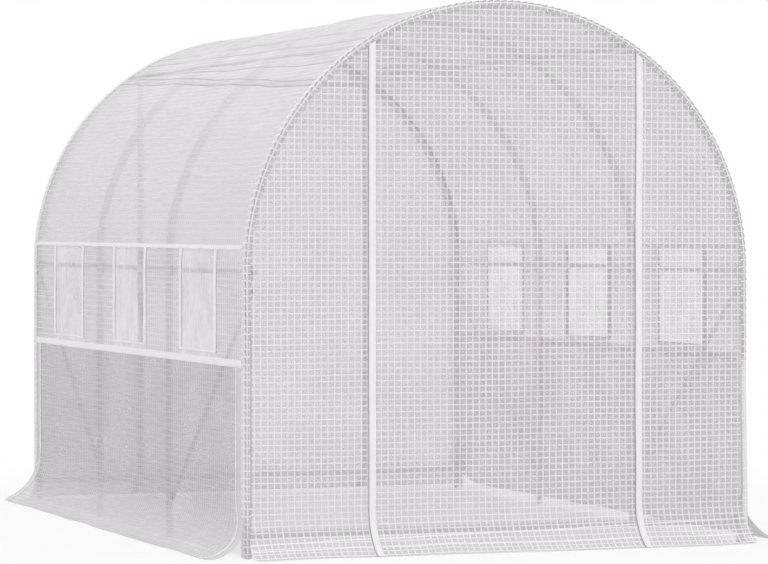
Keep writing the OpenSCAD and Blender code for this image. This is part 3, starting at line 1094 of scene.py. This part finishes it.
# %% Straps and bolts in their places
HOOP_R, HOOP_TUBE, BRACE_TAB = 0.9842, 0.0125, 0.004
INNER_R = HOOP_R - HOOP_TUBE
BRACE_X, BRACE_ENDS = INNER_R - SEAT - BRACE_TAB, ((HOOP_YS[2], 0.150), (HOOP_YS[3], 0.965))
PURLINS = ((0.0, SPRING_Z - 0.003), (math.radians(60), SPRING_Z))
RAIL_X, RAIL_Y, RAIL_Z = HOOP_R - STRAP_W / 2, HOOP_YS[3] - HOOP_TUBE, 0.084
for word, side in SIDES:
    straps = []
    for turn, z in PURLINS:
        over, up = side * math.cos(turn), math.sin(turn)
        for y in HOOP_YS:
            place = (INNER_R * over, y, z + INNER_R * up)
            straps.append(place_copy(purlin_strap, place, (-over, 0, -up), (0, 1, 0)))
    finish(join_parts(f"{word}_purlin_straps", straps), steel_look, "steel_tube")
    places = [(side * BRACE_X, end * y, z) for end in (-1, 1) for y, z in BRACE_ENDS]
    bolts = [place_copy(bolt, place, (-side, 0, 0), (0, 1, 0)) for place in places]
    finish(join_parts(f"{word}_brace_bolts", bolts), steel_look, "steel_tube")
for word, end in ENDS:
    places = [(x, end * RAIL_Y, RAIL_Z) for x in (-RAIL_X, RAIL_X)]
    straps = [place_copy(rail_strap, place, (0, -end, 0), (1, 0, 0)) for place in places]
    finish(join_parts(f"{word}_rail_straps", straps), steel_look, "steel_tube")
for model in (bolt, purlin_strap, rail_strap):
    bpy.data.objects.remove(model)
print("straps at each end:", len(straps))

# %% [markdown]
# ## Floor, backdrop and light
# The tunnel stands on a plain white floor in even, soft light, as in a studio. The world
# is white where the camera sees it and a quieter grey where it lights the film. The floor
# fades into that white with distance, so no horizon shows, and keeps the soft shadow. Inside
# the tunnel its white is painted greyer, as painted shade under the cover.

# %% Floor
FLOOR_R, FLOOR_COLOUR = 60, (0.86, 0.86, 0.865, 1)
FLOOR_PAINTED_SHADE, FLOOR_OUTSIDE = (0.78, 0.752, 0.78), (1, 1, 1)


def seen(tree):
    """1 for what the camera sees, also mirrored or through a surface, and 0 for other light."""
    path = tree.nodes.new("ShaderNodeLightPath").outputs
    straight = most(path["Is Camera Ray"], path["Is Glossy Ray"])
    return most(straight, path["Is Transmission Ray"])


bpy.ops.mesh.primitive_circle_add(vertices=64, radius=FLOOR_R, fill_type="NGON")
floor = bpy.context.active_object
floor.name = "floor"
floor_look, shader, where = new_material("pale_floor", on_cloth=False)
fill(shader, {"Base Color": FLOOR_COLOUR, "Roughness": 0.9})
tree = floor_look.node_tree
# Inside the tunnel's footprint the floor's white is painted grey: painted shade under the cover.
across, along = parts_of(where)[:2]
to_side = calc("DIVIDE", calc("ABSOLUTE", across), COVER_R)
to_end = calc("DIVIDE", calc("ABSOLUTE", along), WALL_Y)
outside = step(most(to_side, to_end), 0.93, 1.03)
white = add_node("Emission", blend(outside, FLOOR_PAINTED_SHADE, FLOOR_OUTSIDE))
away = add_node("VectorMath", where)
away.operation = "LENGTH"
fade = step(away.outputs["Value"], 1.6, 4.0, 0.76, 1.0)
mix = add_node("MixShader", times(seen(tree), fade), shader.outputs[0], white.outputs[0])
feed(tree.nodes["Material Output"].inputs[0], mix.outputs[0])
floor.data.materials.append(floor_look)
print("floor laid")

# %% World and lamps
world = bpy.data.worlds.new("studio")
bpy.context.scene.world = world
world.use_nodes = True
tree = world.node_tree
tree.nodes.clear()
up = parts_of(tree.nodes.new("ShaderNodeTexCoord").outputs["Generated"])[2]
strength = most(seen(tree), step(up, -0.1, 1.0, 0.74, 0.94))
sky = add_node("Background", (1, 1, 1, 1), strength)
add_node("OutputWorld", sky.outputs[0])
LAMP_SIZE, LAMP_AIM = 5.0, Vector((0, 0, 1))
for name, place, watts in (("top_lamp", (-1.5, -0.5, 7.0), 70), ("front_lamp", (1.0, -8.0, 4.0), 60)):
    bpy.ops.object.light_add(type="AREA", location=place)
    lamp = bpy.context.active_object
    lamp.name, lamp.data.size, lamp.data.energy = name, LAMP_SIZE, watts
    x, y, z = LAMP_AIM - Vector(place)
    lamp.rotation_euler = (math.atan2(math.hypot(x, y), -z), 0, math.atan2(-x, y))
bpy.context.scene.view_settings.view_transform = "Standard"
print("two lamps and a white world set")

# %% [markdown]
# ## What the sheets were cut from
# Straight sheets are rectangles. The end walls end in the arch and the skirts fan out, so
# the areas they were cut to are sums over thin strips, worked out here. Tapes, zips, piping
# and strips are sewn onto a sheet.

# %% Sheets
def strip_sum(width, low, high, count=400):
    """Area under width(v) between low and high."""
    middles = low + (np.arange(count) + 0.5) * (high - low) / count
    return float(np.sum(width(middles)) * (high - low) / count)


skirt_area = strip_sum(lambda v: skirt_half(v, WIDE_FAN) + skirt_half(v, NARROW_FAN), 0, SKIRT_TOP)
for name, piece in panels.items():
    word, part = name.split("_", 1)
    side = END_PARTS[part]
    near, far = (DOOR_HALF + side * DOOR_MIDDLE, EDGE_R) if side else ZIP_XS
    strip_sum(lambda v: end_top(v, EDGE_R), near, far)
print("sheets declared:", 1 + 4 + len(panels) + len(flaps) + len(screens))
